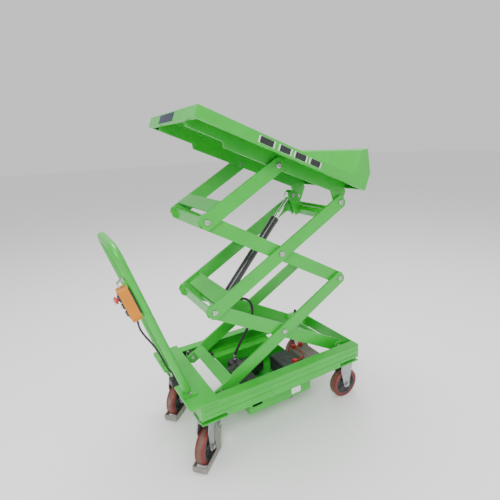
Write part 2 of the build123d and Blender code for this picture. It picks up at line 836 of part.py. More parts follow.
# ---- push handle -----------------------------------------------------------
foot_sheet = 8
foot_top = deck_strip_top + foot_sheet
handle_wall = 2.5
with BuildPart() as push_handle:
    with BuildLine() as handle_path:
        FilletPolyline(
            (handle_foot_x, -handle_foot_y, foot_top - 3),
            (handle_top_x, -handle_foot_y, handle_top_z),
            (handle_top_x, handle_foot_y, handle_top_z),
            (handle_foot_x, handle_foot_y, foot_top - 3),
            radius=60,
        )
    with BuildSketch(Plane(origin=handle_path.line @ 0, z_dir=handle_path.line % 0)):
        Circle(handle_dia / 2)
        Circle(handle_dia / 2 - handle_wall, mode=Mode.SUBTRACT)
    sweep()
    with BuildSketch(Plane.XY.offset(deck_strip_top)):
        for side in (-1, 1):
            with Locations((handle_foot_x, side * handle_foot_y)):
                Rectangle(60, 72)
                with Locations((0, -27), (0, 27)):
                    Circle(bolt_dia / 2, mode=Mode.SUBTRACT)
    extrude(amount=foot_sheet)
finish(push_handle.part, "push_handle")

with BuildPart() as frame_bolts:
    for x, y in ((left_caster_x, left_caster_y), (right_caster_x, right_caster_y)):
        for side in (-1, 1):
            for dx in (-bolt_pitch_x / 2, bolt_pitch_x / 2):
                for dy in (-bolt_pitch_y / 2, bolt_pitch_y / 2):
                    with BuildSketch(Plane(origin=(x + dx, side * y + dy, bracket_bottom - plate_sheet))):
                        Circle(bolt_dia / 2)
                    extrude(amount=plate_sheet + bracket_sheet + 7)
                    with BuildSketch(Plane(origin=(x + dx, side * y + dy, bracket_bottom + bracket_sheet))):
                        RegularPolygon(9, 6)
                    extrude(amount=6)
    for side in (-1, 1):
        for dy in (-27, 27):
            spot = (handle_foot_x, side * handle_foot_y + dy)
            with BuildSketch(Plane(origin=(*spot, deck_strip_top))):
                Circle(bolt_dia / 2)
            extrude(amount=foot_sheet + 7)
            with BuildSketch(Plane(origin=(*spot, foot_top))):
                RegularPolygon(9, 6)
            extrude(amount=6)
finish(frame_bolts.part, "frame_bolts")

# ---- pendant control -------------------------------------------------------
handle_lean = atan2(handle_foot_x - handle_top_x, handle_top_z - foot_top + 3)
pendant_z = 760
pendant_y = -143
leg_x = handle_foot_x - (pendant_z - foot_top + 3) * tan(handle_lean)
outward = (-cos(handle_lean), 0, -sin(handle_lean))


def pendant_plane(depth):
    """Plane along the handle leg, at a depth outward from the leg's axis."""
    return Plane(
        origin=(leg_x + depth * outward[0], pendant_y, pendant_z + depth * outward[2]),
        x_dir=(0, -1, 0),
        z_dir=outward,
    )


holster_back = handle_dia / 2
body_back = 21
body_front = 58
panel_sheet = 2
button_travel = 2
with BuildPart() as pendant_holster:
    with BuildSketch(pendant_plane(holster_back)):
        with Locations((0, 2)):
            RectangleRounded(34, 104, 8)
    extrude(amount=body_back - holster_back)
finish(pendant_holster.part, "pendant_holster")

with BuildPart() as pendant_body:
    with BuildSketch(pendant_plane(body_back)):
        with BuildLine():
            Polyline(
                (-22, -52),
                (-13, -70),
                (13, -70),
                (22, -52),
                (22, 62),
                (14, 70),
                (-14, 70),
                (-22, 62),
                close=True,
            )
        make_face()
    extrude(amount=body_front - body_back)
    front_face = pendant_body.faces().sort_by(Axis((leg_x, pendant_y, pendant_z), outward))[-1]
    fillet(front_face.outer_wire().edges(), 6)
finish(pendant_body.part, "pendant_body")

button_ups = (2, -30)
stop_up = 34
with BuildPart() as pendant_panel:
    with BuildSketch(pendant_plane(body_front)):
        with Locations((0, 4)):
            RectangleRounded(30, 104, 5)
    extrude(amount=panel_sheet)
    with BuildSketch(pendant_plane(body_front + panel_sheet)):
        with Locations((0, stop_up)):
            Circle(15)
        with Locations(*[(0, up) for up in button_ups]):
            Circle(11)
    extrude(amount=4)
    with BuildSketch(pendant_plane(body_front)):
        with Locations((0, stop_up)):
            Circle(8.1)
        with Locations(*[(0, up) for up in button_ups]):
            Circle(8.1)
    extrude(amount=8, mode=Mode.SUBTRACT)
finish(pendant_panel.part, "pendant_panel")

button_back = body_front + button_travel + 0.2
for up, name in zip(button_ups, ("up_button", "down_button")):
    with BuildPart() as button:
        with BuildSketch(pendant_plane(button_back)):
            with Locations((0, up)):
                Circle(8)
        extrude(amount=8)
    finish(button.part, name)

with BuildPart() as stop_button:
    with BuildSketch(pendant_plane(body_front + 4.2)):
        with Locations((0, stop_up)):
            Circle(8)
    extrude(amount=8)
    with BuildSketch(pendant_plane(body_front + 11)):
        with Locations((0, stop_up)):
            Circle(14)
    extrude(amount=8)
finish(stop_button.part, "stop_button")

with BuildPart() as pendant_hook:
    with BuildSketch(Plane(origin=(leg_x, pendant_y - 9, pendant_z), x_dir=outward, z_dir=(0, 1, 0))):
        with BuildLine():
            Polyline(
                (42, 70),
                (42, 88),
                (24, 96),
                (24, 84),
                (21, 84),
                (21, 101),
                (46, 90),
                (46, 70),
                close=True,
            )
        make_face()
    extrude(amount=18)
finish(pendant_hook.part, "pendant_hook")

gland_x = -424
gland_y = 5
gland_top = 294
with BuildPart() as cable_gland:
    with BuildSketch(Plane.XY.offset(262)):
        with Locations(((base_left - rail_sheet + gland_x - 14) / 2, 12)):
            Rectangle(base_left - rail_sheet - gland_x + 14, 46)
    extrude(amount=24)
    with BuildSketch(Plane.XY.offset(286)):
        with Locations((gland_x, gland_y)):
            Circle(8)
    extrude(amount=gland_top - 286)
finish(cable_gland.part, "cable_gland")

cable_dia = 8
cable_start = pendant_plane(40).from_local_coords((0, -70, 0))
cable_points = [
    tuple(cable_start),
    (-567, -141, 652),
    (-552, -140, 612),
    (-526, -137, 567),
    (-504, -131, 517),
    (-487, -118, 466),
    (-470, -97, 418),
    (-455, -70, 382),
    (-440, -40, 356),
    (-430, -14, 338),
    (-425, 1, 318),
    (gland_x, gland_y, gland_top),
]
finish(route_tube(cable_points, cable_dia), "pendant_cable")

# ---- power pack under the frame ---------------------------------------------
tray_left = -160
tray_right = 180
tray_near = -200
tray_far = 150
tray_floor = 118
tray_sheet = 3
shelf_top = 162
shelf_right = 302
battery_length = 195
battery_width = 98
battery_near = -196
with BuildPart() as power_tray:
    with BuildSketch(Plane.XY.offset(tray_floor)):
        with Locations(((tray_left + tray_right) / 2, (tray_near + tray_far) / 2)):
            Rectangle(tray_right - tray_left, tray_far - tray_near)
    extrude(amount=rail_bottom - tray_floor)
    with BuildSketch(Plane.XY.offset(tray_floor + tray_sheet)):
        with Locations(((tray_left + tray_right) / 2, (tray_near + tray_far) / 2)):
            Rectangle(tray_right - tray_left - 2 * tray_sheet, tray_far - tray_near - 2 * tray_sheet)
    extrude(amount=rail_bottom - tray_floor, mode=Mode.SUBTRACT)
    with BuildSketch(Plane.XY.offset(rail_bottom - tray_sheet)):
        with Locations(((tray_left + tray_right) / 2, (tray_near - half + 4) / 2)):
            Rectangle(tray_right - tray_left, half - 4 + tray_near)
        with Locations(((tray_left - 40 + tray_right) / 2, (tray_far + half - 4) / 2)):
            Rectangle(tray_right - tray_left + 40, half - 4 - tray_far)
    extrude(amount=tray_sheet)
    with BuildSketch(Plane.XZ.offset(-tray_near - 2)):
        with Locations((tray_left + 42, 172)):
            RectangleRounded(52, 44, 4)
    extrude(amount=6, both=True, mode=Mode.SUBTRACT)
    with BuildSketch(Plane.XZ.offset(-battery_near - battery_length)):
        with BuildLine():
            Polyline(
                (72, shelf_top),
                (174, shelf_top),
                (174, 121),
                (170, 121),
                (170, 158),
                (76, 158),
                (76, 121),
                (72, 121),
                close=True,
            )
        make_face()
        with BuildLine():
            Polyline(
                (tray_right, shelf_top),
                (shelf_right - 4, shelf_top),
                (shelf_right - 4, 215),
                (shelf_right, 215),
                (shelf_right, 158),
                (tray_right, 158),
                close=True,
            )
        make_face()
    extrude(amount=battery_length)
finish(power_tray.part, "power_tray")

battery_top = 240
for x, name in ((124, "left_battery"), (247, "right_battery")):
    with BuildPart() as battery:
        with BuildSketch(Plane.XY.offset(shelf_top)):
            with Locations((x, battery_near + battery_length / 2)):
                Rectangle(battery_width, battery_length)
        extrude(amount=battery_top - shelf_top)
        fillet(battery.edges().filter_by(Axis.Z), 4)
        chamfer(battery.edges().group_by(Axis.Z)[-1], 2)
    finish(battery.part, name)

boot_top = 260
boots = ((214, -18), (256, -18), (139, -134))
with BuildPart() as terminal_boots:
    for x, y in boots:
        with BuildSketch(Plane(origin=(x, y, battery_top))):
            RectangleRounded(22, 20, 4)
        extrude(amount=boot_top - battery_top)
finish(terminal_boots.part, "terminal_boots")

battery_cable_dia = 7
battery_cable_z = 250
battery_cable_points = [
    (boots[0][0], boots[0][1] - 10, battery_cable_z),
    (218, -66, battery_cable_z),
    (214, -104, battery_cable_z + 1),
    (193, -130, battery_cable_z + 1),
    (boots[2][0] + 11, boots[2][1], battery_cable_z),
]
finish(route_tube(battery_cable_points, battery_cable_dia), "battery_cable")

# electric motor, gear pump block and oil tank, bolted to the tray floor
motor_z = 171
with BuildPart() as pump_motor:
    with BuildSketch(Plane.YZ.offset(-62)):
        with Locations((pump_port_y, motor_z)):
            Circle(46)
    extrude(amount=112)
    with BuildSketch(Plane.YZ.offset(50)):
        with Locations((pump_port_y, motor_z)):
            Circle(34)
    extrude(amount=8)
    with BuildSketch(Plane.XY.offset(tray_floor + tray_sheet)):
        with Locations((-6, pump_port_y)):
            Rectangle(70, 60)
    extrude(amount=20)
finish(pump_motor.part, "pump_motor")

with BuildPart() as pump_block:
    with BuildSketch(Plane.XY.offset(tray_floor + tray_sheet)):
        with Locations((pump_port_x, pump_port_y)):
            Rectangle(52, 72)
    extrude(amount=104)
    with BuildSketch(Plane.XY.offset(tray_floor + tray_sheet + 104)):
        with Locations((pump_port_x, pump_port_y)):
            RegularPolygon(12, 6)
    extrude(amount=pump_port_z - tray_floor - tray_sheet - 104)
finish(pump_block.part, "pump_block")

with BuildPart() as oil_tank:
    with BuildSketch(Plane.XY.offset(tray_floor + tray_sheet)):
        with Locations((-115, -72)):
            RectangleRounded(80, 196, 8)
    extrude(amount=118)
    with BuildSketch(Plane.XY.offset(tray_floor + tray_sheet + 118)):
        with Locations((-125, -20)):
            Circle(14)
    extrude(amount=12)
finish(oil_tank.part, "oil_tank")

with BuildPart() as control_box:
    with BuildSketch(Plane.XY.offset(rail_bottom)):
        with Locations((-178, 186)):
            Rectangle(34, 34)
    extrude(amount=18)
finish(control_box.part, "control_box")

with BuildPart() as end_knob:
    with BuildSketch(Plane.XY.offset(rail_top)):
        with Locations((404, 228)):
            Circle(5)
    extrude(amount=8)
    with BuildSketch(Plane.XY.offset(rail_top + 8)):
        with Locations((404, 228)):
            Circle(9)
    extrude(amount=14)
finish(end_knob.part, "end_knob")
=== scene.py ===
import bpy
import bmesh
import json
import math
import random
from mathutils import Matrix, Vector


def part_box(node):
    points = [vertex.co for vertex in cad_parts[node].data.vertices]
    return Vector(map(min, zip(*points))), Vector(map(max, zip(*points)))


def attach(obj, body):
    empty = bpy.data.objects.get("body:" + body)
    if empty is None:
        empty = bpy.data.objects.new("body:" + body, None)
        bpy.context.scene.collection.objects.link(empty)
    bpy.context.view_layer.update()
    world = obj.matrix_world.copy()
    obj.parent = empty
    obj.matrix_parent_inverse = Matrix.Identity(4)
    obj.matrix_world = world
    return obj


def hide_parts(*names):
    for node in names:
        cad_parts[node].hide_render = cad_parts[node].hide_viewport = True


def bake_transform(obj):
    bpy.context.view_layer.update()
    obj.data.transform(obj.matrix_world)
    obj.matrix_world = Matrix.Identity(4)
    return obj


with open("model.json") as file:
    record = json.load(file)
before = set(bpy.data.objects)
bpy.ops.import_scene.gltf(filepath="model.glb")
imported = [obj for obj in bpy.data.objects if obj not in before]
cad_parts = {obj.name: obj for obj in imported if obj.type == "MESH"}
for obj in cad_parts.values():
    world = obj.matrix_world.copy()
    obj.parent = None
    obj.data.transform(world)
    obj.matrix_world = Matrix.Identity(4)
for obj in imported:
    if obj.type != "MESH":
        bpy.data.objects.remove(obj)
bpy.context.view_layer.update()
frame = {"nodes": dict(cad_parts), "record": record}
record = frame["record"]
joints = {j["name"]: j for j in record["behaviour"]["joints"]}
rng = random.Random(7)

# ---- camera ------------------------------------------------------------------
eye = (-0.7251, -1.4700, 1.2733)
forward = Vector((0.4808, 0.8318, -0.2775)).normalized()
upward = Vector((0.1815, 0.2152, 0.9596))
upward = (upward - forward * upward.dot(forward)).normalized()
right = forward.cross(upward)
cam_data = bpy.data.cameras.new("camera")
cam_data.sensor_width = 36.0
cam_data.lens = 27.26
cam_data.shift_x = -0.0172
cam_data.shift_y = 0.0084
cam = bpy.data.objects.new("camera", cam_data)
bpy.context.scene.collection.objects.link(cam)
turn = Matrix((right, upward, -forward)).transposed().to_4x4()
cam.matrix_world = Matrix.Translation(eye) @ turn
bpy.context.scene.camera = cam


# ---- materials ---------------------------------------------------------------
class Tree:
    """Small helper round one material's node tree."""

    def __init__(self, name):
        self.mat = bpy.data.materials.new(name)
        self.mat.use_nodes = True
        self.t = self.mat.node_tree
        self.bsdf = self.t.nodes["Principled BSDF"]
        self.coord = self.add("ShaderNodeTexCoord")

    def add(self, kind, **values):
        node = self.t.nodes.new(kind)
        for key, value in values.items():
            if hasattr(node, key):
                setattr(node, key, value)
            else:
                node.inputs[key.replace("_", " ")].default_value = value
        return node

    def link(self, a, b):
        self.t.links.new(a, b)

    def noise(self, scale, detail=3.0, stretch=(1, 1, 1), rough=0.55):
        mapping = self.add("ShaderNodeMapping")
        mapping.inputs["Scale"].default_value = stretch
        self.link(self.coord.outputs["Object"], mapping.inputs["Vector"])
        n = self.add("ShaderNodeTexNoise")
        n.inputs["Scale"].default_value = scale
        n.inputs["Detail"].default_value = detail
        n.inputs["Roughness"].default_value = rough
        self.link(mapping.outputs["Vector"], n.inputs["Vector"])
        return n.outputs["Fac"]

    def ramp(self, fac, lo, hi, a, b):
        r = self.add("ShaderNodeMapRange")
        r.inputs["From Min"].default_value = lo
        r.inputs["From Max"].default_value = hi
        r.inputs["To Min"].default_value = a
        r.inputs["To Max"].default_value = b
        self.link(fac, r.inputs["Value"])
        return r.outputs["Result"]

    def mix(self, fac, a, b):
        m = self.add("ShaderNodeMix", data_type="RGBA")
        if isinstance(fac, float):
            m.inputs[0].default_value = fac
        else:
            self.link(fac, m.inputs[0])
        for value, socket in ((a, m.inputs[6]), (b, m.inputs[7])):
            if isinstance(value, tuple):
                socket.default_value = (*value, 1.0)
            else:
                self.link(value, socket)
        return m.outputs[2]

    def edges(self, radius=0.002, gain=3.0):
        """1 along sharp edges, 0 on flats."""
        bevel = self.add("ShaderNodeBevel", samples=4)
        bevel.inputs["Radius"].default_value = radius
        geo = self.add("ShaderNodeNewGeometry")
        dot = self.add("ShaderNodeVectorMath", operation="DOT_PRODUCT")
        self.link(bevel.outputs["Normal"], dot.inputs[0])
        self.link(geo.outputs["Normal"], dot.inputs[1])
        return self.ramp(dot.outputs["Value"], 0.995, 0.80, 0.0, 1.0)

    def bump(self, height, strength, distance=0.001):
        b = self.add("ShaderNodeBump")
        b.inputs["Strength"].default_value = strength
        b.inputs["Distance"].default_value = distance
        self.link(height, b.inputs["Height"])
        self.link(b.outputs["Normal"], self.bsdf.inputs["Normal"])


def shade(rgb, k):
    return tuple(min(1.0, c * k) for c in rgb)


def finish_mat(name, rgb, rough, metallic=0.0, vary=0.08, scale=9.0, wear=None, wear_amount=0.5,
               grain=260.0, grain_strength=0.08, stretch=(1, 1, 1), dust=0.0, coat=0.0, spec=0.5):
    t = Tree(name)
    big = t.ramp(t.noise(scale, 4.0), 0.32, 0.68, 0.0, 1.0)
    colour = t.mix(big, shade(rgb, 1.0 - vary), shade(rgb, 1.0 + vary))
    small = t.ramp(t.noise(scale * 9, 3.0), 0.60, 0.78, 0.0, 0.35)
    colour = t.mix(small, colour, shade(rgb, 1.0 - 2.2 * vary))
    if dust:
        speck = t.ramp(t.noise(scale * 3.1, 5.0, rough=0.7), 0.52, 0.80, 0.0, dust)
        colour = t.mix(speck, colour, (0.42, 0.40, 0.36))
    if wear:
        edge = t.edges()
        patch = t.ramp(t.noise(38.0, 4.0), 0.42, 0.62, 0.15, 1.0)
        mult = t.add("ShaderNodeMath", operation="MULTIPLY")
        t.link(edge, mult.inputs[0])
        t.link(patch, mult.inputs[1])
        amount = t.ramp(mult.outputs[0], 0.0, 1.0, 0.0, wear_amount)
        colour = t.mix(amount, colour, wear)
    t.link(colour, t.bsdf.inputs["Base Color"])
    rr = t.ramp(t.noise(scale * 4, 3.0), 0.3, 0.7, max(0.02, rough - 0.07), min(1.0, rough + 0.07))
    t.link(rr, t.bsdf.inputs["Roughness"])
    t.bsdf.inputs["Metallic"].default_value = metallic
    t.bsdf.inputs["Coat Weight"].default_value = coat
    t.bsdf.inputs["Coat Roughness"].default_value = 0.25
    t.bsdf.inputs["Specular IOR Level"].default_value = spec
    t.bump(t.noise(grain, 2.0, stretch), grain_strength)
    return t.mat


GREEN = (0.024, 0.440, 0.030)
green = finish_mat("green_powder_coat", GREEN, 0.36, vary=0.07, wear=(0.10, 0.52, 0.09), wear_amount=0.55,
                   grain=420.0, grain_strength=0.10, dust=0.03, coat=0.15)
steel = finish_mat("machined_steel", (0.46, 0.46, 0.45), 0.34, 1.0, 0.10, 30.0, wear=(0.85, 0.85, 0.84),
                   grain=500.0, stretch=(1, 6, 1), dust=0.05)
zinc = finish_mat("zinc_plate", (0.38, 0.39, 0.40), 0.42, 0.85, 0.14, 22.0, wear=(0.72, 0.72, 0.71),
                  grain=180.0, dust=0.10)
guard_steel = finish_mat("dull_guard_steel", (0.30, 0.29, 0.26), 0.5, 0.7, 0.15, 26.0,
                         wear=(0.55, 0.53, 0.48), grain=160.0, dust=0.18)
chrome = finish_mat("hard_chrome", (0.80, 0.80, 0.81), 0.10, 1.0, 0.03, 14.0, grain=700.0,
                    grain_strength=0.02, stretch=(1, 1, 9))
black_paint = finish_mat("black_gloss_paint", (0.020, 0.021, 0.022), 0.30, vary=0.15,
                         wear=(0.16, 0.16, 0.16), grain=350.0, dust=0.05, coat=0.3)
cast = finish_mat("cast_block", (0.075, 0.075, 0.08), 0.55, 0.4, 0.2, 30.0, wear=(0.3, 0.3, 0.3),
                  grain=140.0, grain_strength=0.5, dust=0.1)
plastic = finish_mat("black_moulded_plastic", (0.028, 0.028, 0.030), 0.5, vary=0.15,
                     wear=(0.12, 0.12, 0.12), grain=600.0, grain_strength=0.2)
rubber = finish_mat("black_hose_rubber", (0.022, 0.022, 0.023), 0.55, vary=0.2, grain=500.0,
                    grain_strength=0.25, dust=0.05)
red_rubber = finish_mat("red_cable_sheath", (0.34, 0.040, 0.015), 0.5, vary=0.12, grain=400.0, dust=0.05)
red_plastic = finish_mat("red_moulded_plastic", (0.50, 0.022, 0.012), 0.38, vary=0.08, wear=(0.9, 0.3, 0.2),
                         grain=500.0)
white_plastic = finish_mat("white_moulded_plastic", (0.75, 0.75, 0.72), 0.35, vary=0.05, grain=500.0)
orange = finish_mat("orange_moulded_plastic", (0.60, 0.20, 0.002), 0.48, vary=0.07, wear=(0.95, 0.6, 0.2),
                    grain=520.0, grain_strength=0.25)
battery_dark = finish_mat("battery_case_dark", (0.035, 0.037, 0.042), 0.5, vary=0.2,
                          wear=(0.15, 0.15, 0.15), grain=420.0, grain_strength=0.3, dust=0.12)
battery_brown = finish_mat("battery_case_grey", (0.17, 0.15, 0.13), 0.55, vary=0.14, wear=(0.3, 0.28, 0.25),
                           grain=420.0, grain_strength=0.3, dust=0.15)
tread_red = finish_mat("red_polyurethane", (0.170, 0.019, 0.014), 0.50, vary=0.14, wear=(0.25, 0.06, 0.045),
                       grain=220.0, grain_strength=0.2, dust=0.12)
tread_band = finish_mat("worn_tread_band", (0.145, 0.075, 0.060), 0.7, vary=0.18, grain=150.0,
                        grain_strength=0.4, dust=0.3)
hub_dark = finish_mat("hub_dark_iron", (0.040, 0.040, 0.043), 0.5, 0.2, 0.2, 30.0, wear=(0.16, 0.16, 0.16),
                      grain=160.0, grain_strength=0.4, dust=0.08)
plate_dark = finish_mat("dark_plate_film", (0.010, 0.017, 0.014), 0.5, vary=0.12, grain=300.0, coat=0.05)
plate_blue = finish_mat("blue_plate_film", (0.006, 0.014, 0.050), 0.5, vary=0.12, grain=300.0, coat=0.05)
label_white = finish_mat("blank_label_film", (0.72, 0.73, 0.70), 0.4, vary=0.05, grain=300.0)

node_mats = {"side_rails": green, "end_plates": green, "handle_deck": green, "frame_brackets": green,
             "push_handle": green, "power_tray": green, "lower_inner_frame": green,
             "lower_outer_frame": green, "upper_outer_frame": green, "upper_inner_frame": green,
             "tilt_link": green, "platform_deck": green, "platform_beams": green, "end_stop": green,
             "base_pivot_pins": steel, "lower_inner_pins": steel, "right_elbow_pins": steel,
             "roller_axles": steel, "upper_outer_pins": steel, "left_top_pins": steel,
             "tilt_link_pins": steel, "near_roller": steel, "far_roller": steel, "frame_bolts": steel,
             "right_axle_bolts": steel, "near_left_axle": steel, "far_left_axle": steel,
             "pendant_hook": steel, "rigid_caster_forks": zinc, "swivel_top_plates": zinc,
             "near_swivel_fork": zinc, "far_swivel_fork": zinc, "near_toe_guard": guard_steel,
             "far_toe_guard": guard_steel, "near_brake_pedal": zinc, "far_brake_pedal": zinc,
             "cylinder_barrel": black_paint, "pump_motor": black_paint, "pump_block": cast,
             "oil_tank": black_paint, "cylinder_rod": chrome, "cable_gland": plastic,
             "pendant_holster": plastic, "pendant_panel": plastic, "control_box": plastic,
             "end_knob": plastic, "terminal_boots": red_plastic, "left_battery": battery_dark,
             "right_battery": battery_brown, "pendant_body": orange, "up_button": white_plastic,
             "down_button": white_plastic, "stop_button": red_plastic}
soft_edge = {"platform_deck": 0.002, "push_handle": 0.0, "pendant_body": 0.0, "left_battery": 0.0,
             "right_battery": 0.0, "cylinder_rod": 0.0006, "up_button": 0.0008, "down_button": 0.0008,
             "stop_button": 0.0015, "pendant_panel": 0.0005, "terminal_boots": 0.002}
for name, material in node_mats.items():
    obj = frame["nodes"][name]
    obj.data.materials.clear()
    obj.data.materials.append(material)
    width = soft_edge.get(name, 0.001)
    if width:
        bevel = obj.modifiers.new("edge", "BEVEL")
        bevel.width = width
        bevel.segments = 2
        bevel.limit_method = "ANGLE"
        bevel.angle_limit = math.radians(35)
        bevel.harden_normals = False


def mesh_object(name, verts, faces, material, body, smooth=True):
    me = bpy.data.meshes.new(name)
    me.from_pydata([tuple(v) for v in verts], [], faces)
    me.update()
    ob = bpy.data.objects.new(name, me)
    bpy.context.scene.collection.objects.link(ob)
    ob.data.materials.append(material)
    if smooth:
        for p in me.polygons:
            p.use_smooth = True
    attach(ob, body)
    return ob


def basis(axis):
    """Two unit vectors square to axis."""
    axis = Vector(axis).normalized()
    side = Vector((0, 0, 1)) if abs(axis.z) < 0.9 else Vector((1, 0, 0))
    a = axis.cross(side).normalized()
    return a, axis.cross(a).normalized(), axis


def lathe(name, centre, axis, profile, materials, body, steps=72, bands=None, closed=True):
    """Turned piece: profile is (radius, along) pairs; bands gives a material index for each profile span."""
    a, b, n = basis(axis)
    centre = Vector(centre)
    verts, faces, index = [], [], []
    count = len(profile)
    for i in range(steps):
        ang = 2 * math.pi * i / steps
        ray = a * math.cos(ang) + b * math.sin(ang)
        for r, h in profile:
            verts.append(centre + ray * r + n * h)
    for i in range(steps):
        j = (i + 1) % steps
        for k in range(count if closed else count - 1):
            m = (k + 1) % count
            faces.append((i * count + k, j * count + k, j * count + m, i * count + m))
            index.append(bands[k] if bands else 0)
    me = bpy.data.meshes.new(name)
    me.from_pydata([tuple(v) for v in verts], [], faces)
    me.update()
    bm = bmesh.new()
    bm.from_mesh(me)
    bmesh.ops.recalc_face_normals(bm, faces=bm.faces)
    bm.to_mesh(me)
    bm.free()
    ob = bpy.data.objects.new(name, me)
    bpy.context.scene.collection.objects.link(ob)
    for m in (materials if isinstance(materials, list) else [materials]):
        me.materials.append(m)
    for p, idx in zip(me.polygons, index):
        p.material_index = idx
        p.use_smooth = True
    me.set_sharp_from_angle(angle=math.radians(40))
    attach(ob, body)
    return ob


def slab(name, origin, ux, uy, w, h, t, material, body, corner=0.004, edge=0.0006, lift=0.0):
    """Thin plate with rounded corners; ux and uy span it and t is its thickness along their normal."""
    ux, uy = Vector(ux).normalized(), Vector(uy).normalized()
    n = ux.cross(uy)
    origin = Vector(origin) + n * lift
    ring = []
    for sx, sy, start in ((1, 1, 0), (-1, 1, 90), (-1, -1, 180), (1, -1, 270)):
        for k in range(5):
            ang = math.radians(start + k * 22.5)
            ring.append((sx * (w / 2 - corner) + corner * math.cos(ang),
                         sy * (h / 2 - corner) + corner * math.sin(ang)))
    verts = []
    for depth, inset in ((0, 0), (t - edge, 0), (t, edge)):
        for x, y in ring:
            k = 1 - inset / max(w, h) * 2
            verts.append(origin + ux * x * k + uy * y * k + n * depth)
    c = len(ring)
    faces = [tuple(range(c))[::-1], tuple(range(2 * c, 3 * c))]
    for level in (0, 1):
        for i in range(c):
            j = (i + 1) % c
            faces.append((level * c + i, level * c + j, (level + 1) * c + j, (level + 1) * c + i))
    return mesh_object(name, verts, faces, material, body, smooth=False)


def centre_of(node):
    lo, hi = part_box(node)
    return (Vector(lo) + Vector(hi)) / 2


# ---- cords -------------------------------------------------------------------
def nurbs(name, points, dia, material):
    cu = bpy.data.curves.new(name, "CURVE")
    cu.dimensions = "3D"
    sp = cu.splines.new("NURBS")
    sp.points.add(len(points) - 1)
    for q, (x, y, z) in zip(sp.points, points):
        q.co = (x, y, z, 1.0)
        q.radius = dia / 2
    sp.use_endpoint_u = True
    sp.order_u = 3
    sp.resolution_u = 12
    cu.bevel_depth = 1.0
    cu.bevel_resolution = 6
    cu.use_fill_caps = True
    cu.materials.append(material)
    ob = bpy.data.objects.new(name, cu)
    bpy.context.scene.collection.objects.link(ob)
    return ob


cable_points = [(-0.48291, -0.143, 0.68140), (-0.483, -0.141, 0.652), (-0.468, -0.140, 0.612),
                (-0.442, -0.137, 0.567), (-0.420, -0.131, 0.517), (-0.403, -0.118, 0.466),
                (-0.386, -0.097, 0.418), (-0.371, -0.070, 0.382), (-0.356, -0.040, 0.356),
                (-0.346, -0.014, 0.338), (-0.341, 0.001, 0.318), (-0.340, 0.005, 0.294)]
hose_points = [(-0.0040, 0.045, 0.5911), (0.0232, 0.045, 0.5673), (0.064, 0.049, 0.561),
               (0.096, 0.050, 0.532), (0.106, 0.053, 0.485), (0.096, 0.056, 0.432), (0.070, 0.060, 0.386),
               (0.042, 0.064, 0.342), (0.016, 0.068, 0.298), (-0.002, 0.070, 0.266), (-0.004, 0.070, 0.238)]
battery_points = [(0.298, -0.028, 0.250), (0.302, -0.066, 0.250), (0.298, -0.104, 0.251),
                  (0.277, -0.130, 0.251), (0.234, -0.134, 0.250)]


def spline_length(ob):
    """Length of a curve object's own line."""
    keep = ob.data.bevel_depth
    ob.data.bevel_depth = 0.0
    me = bpy.data.meshes.new_from_object(ob)
    ob.data.bevel_depth = keep
    total = sum((me.vertices[e.vertices[0]].co - me.vertices[e.vertices[1]].co).length for e in me.edges)
    bpy.data.meshes.remove(me)
    return total


def meshed(ob):
    """A mesh object with the shape of a curve object, which it takes the place of."""
    bpy.context.view_layer.update()
    me = bpy.data.meshes.new_from_object(ob.evaluated_get(bpy.context.evaluated_depsgraph_get()))
    for poly in me.polygons:
        poly.use_smooth = True
    new = bpy.data.objects.new(ob.name + "_tube", me)
    bpy.context.scene.collection.objects.link(new)
    bpy.data.objects.remove(ob)
    return new


pendant_cable = nurbs("pendant_cable_run", cable_points, 0.008, rubber)
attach(pendant_cable, "base")
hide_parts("pendant_cable")
round(spline_length(pendant_cable), 3)
hose = meshed(nurbs("hydraulic_hose_run", hose_points, 0.013, rubber))
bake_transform(hose)
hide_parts("hydraulic_hose")
battery_lead = nurbs("battery_lead", battery_points, 0.007, red_rubber)
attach(battery_lead, "base")
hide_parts("battery_cable")

# ferrules at the ends of the hose
for tag, body, at, direction in (
    ("lower", "base", hose_points[-1], (0.0, 0.0, 1.0)),
    ("upper", "cylinder_barrel", hose_points[0], tuple(Vector(hose_points[1]) - Vector(hose_points[0]))),
):
    lathe("hose_ferrule_" + tag, at, direction,
          [(0.0068, 0.0), (0.0095, 0.0), (0.0098, 0.004), (0.0088, 0.006), (0.0098, 0.008), (0.0088, 0.010),
           (0.0098, 0.012), (0.0098, 0.024), (0.0085, 0.026), (0.0068, 0.026)], steel, body, steps=36)

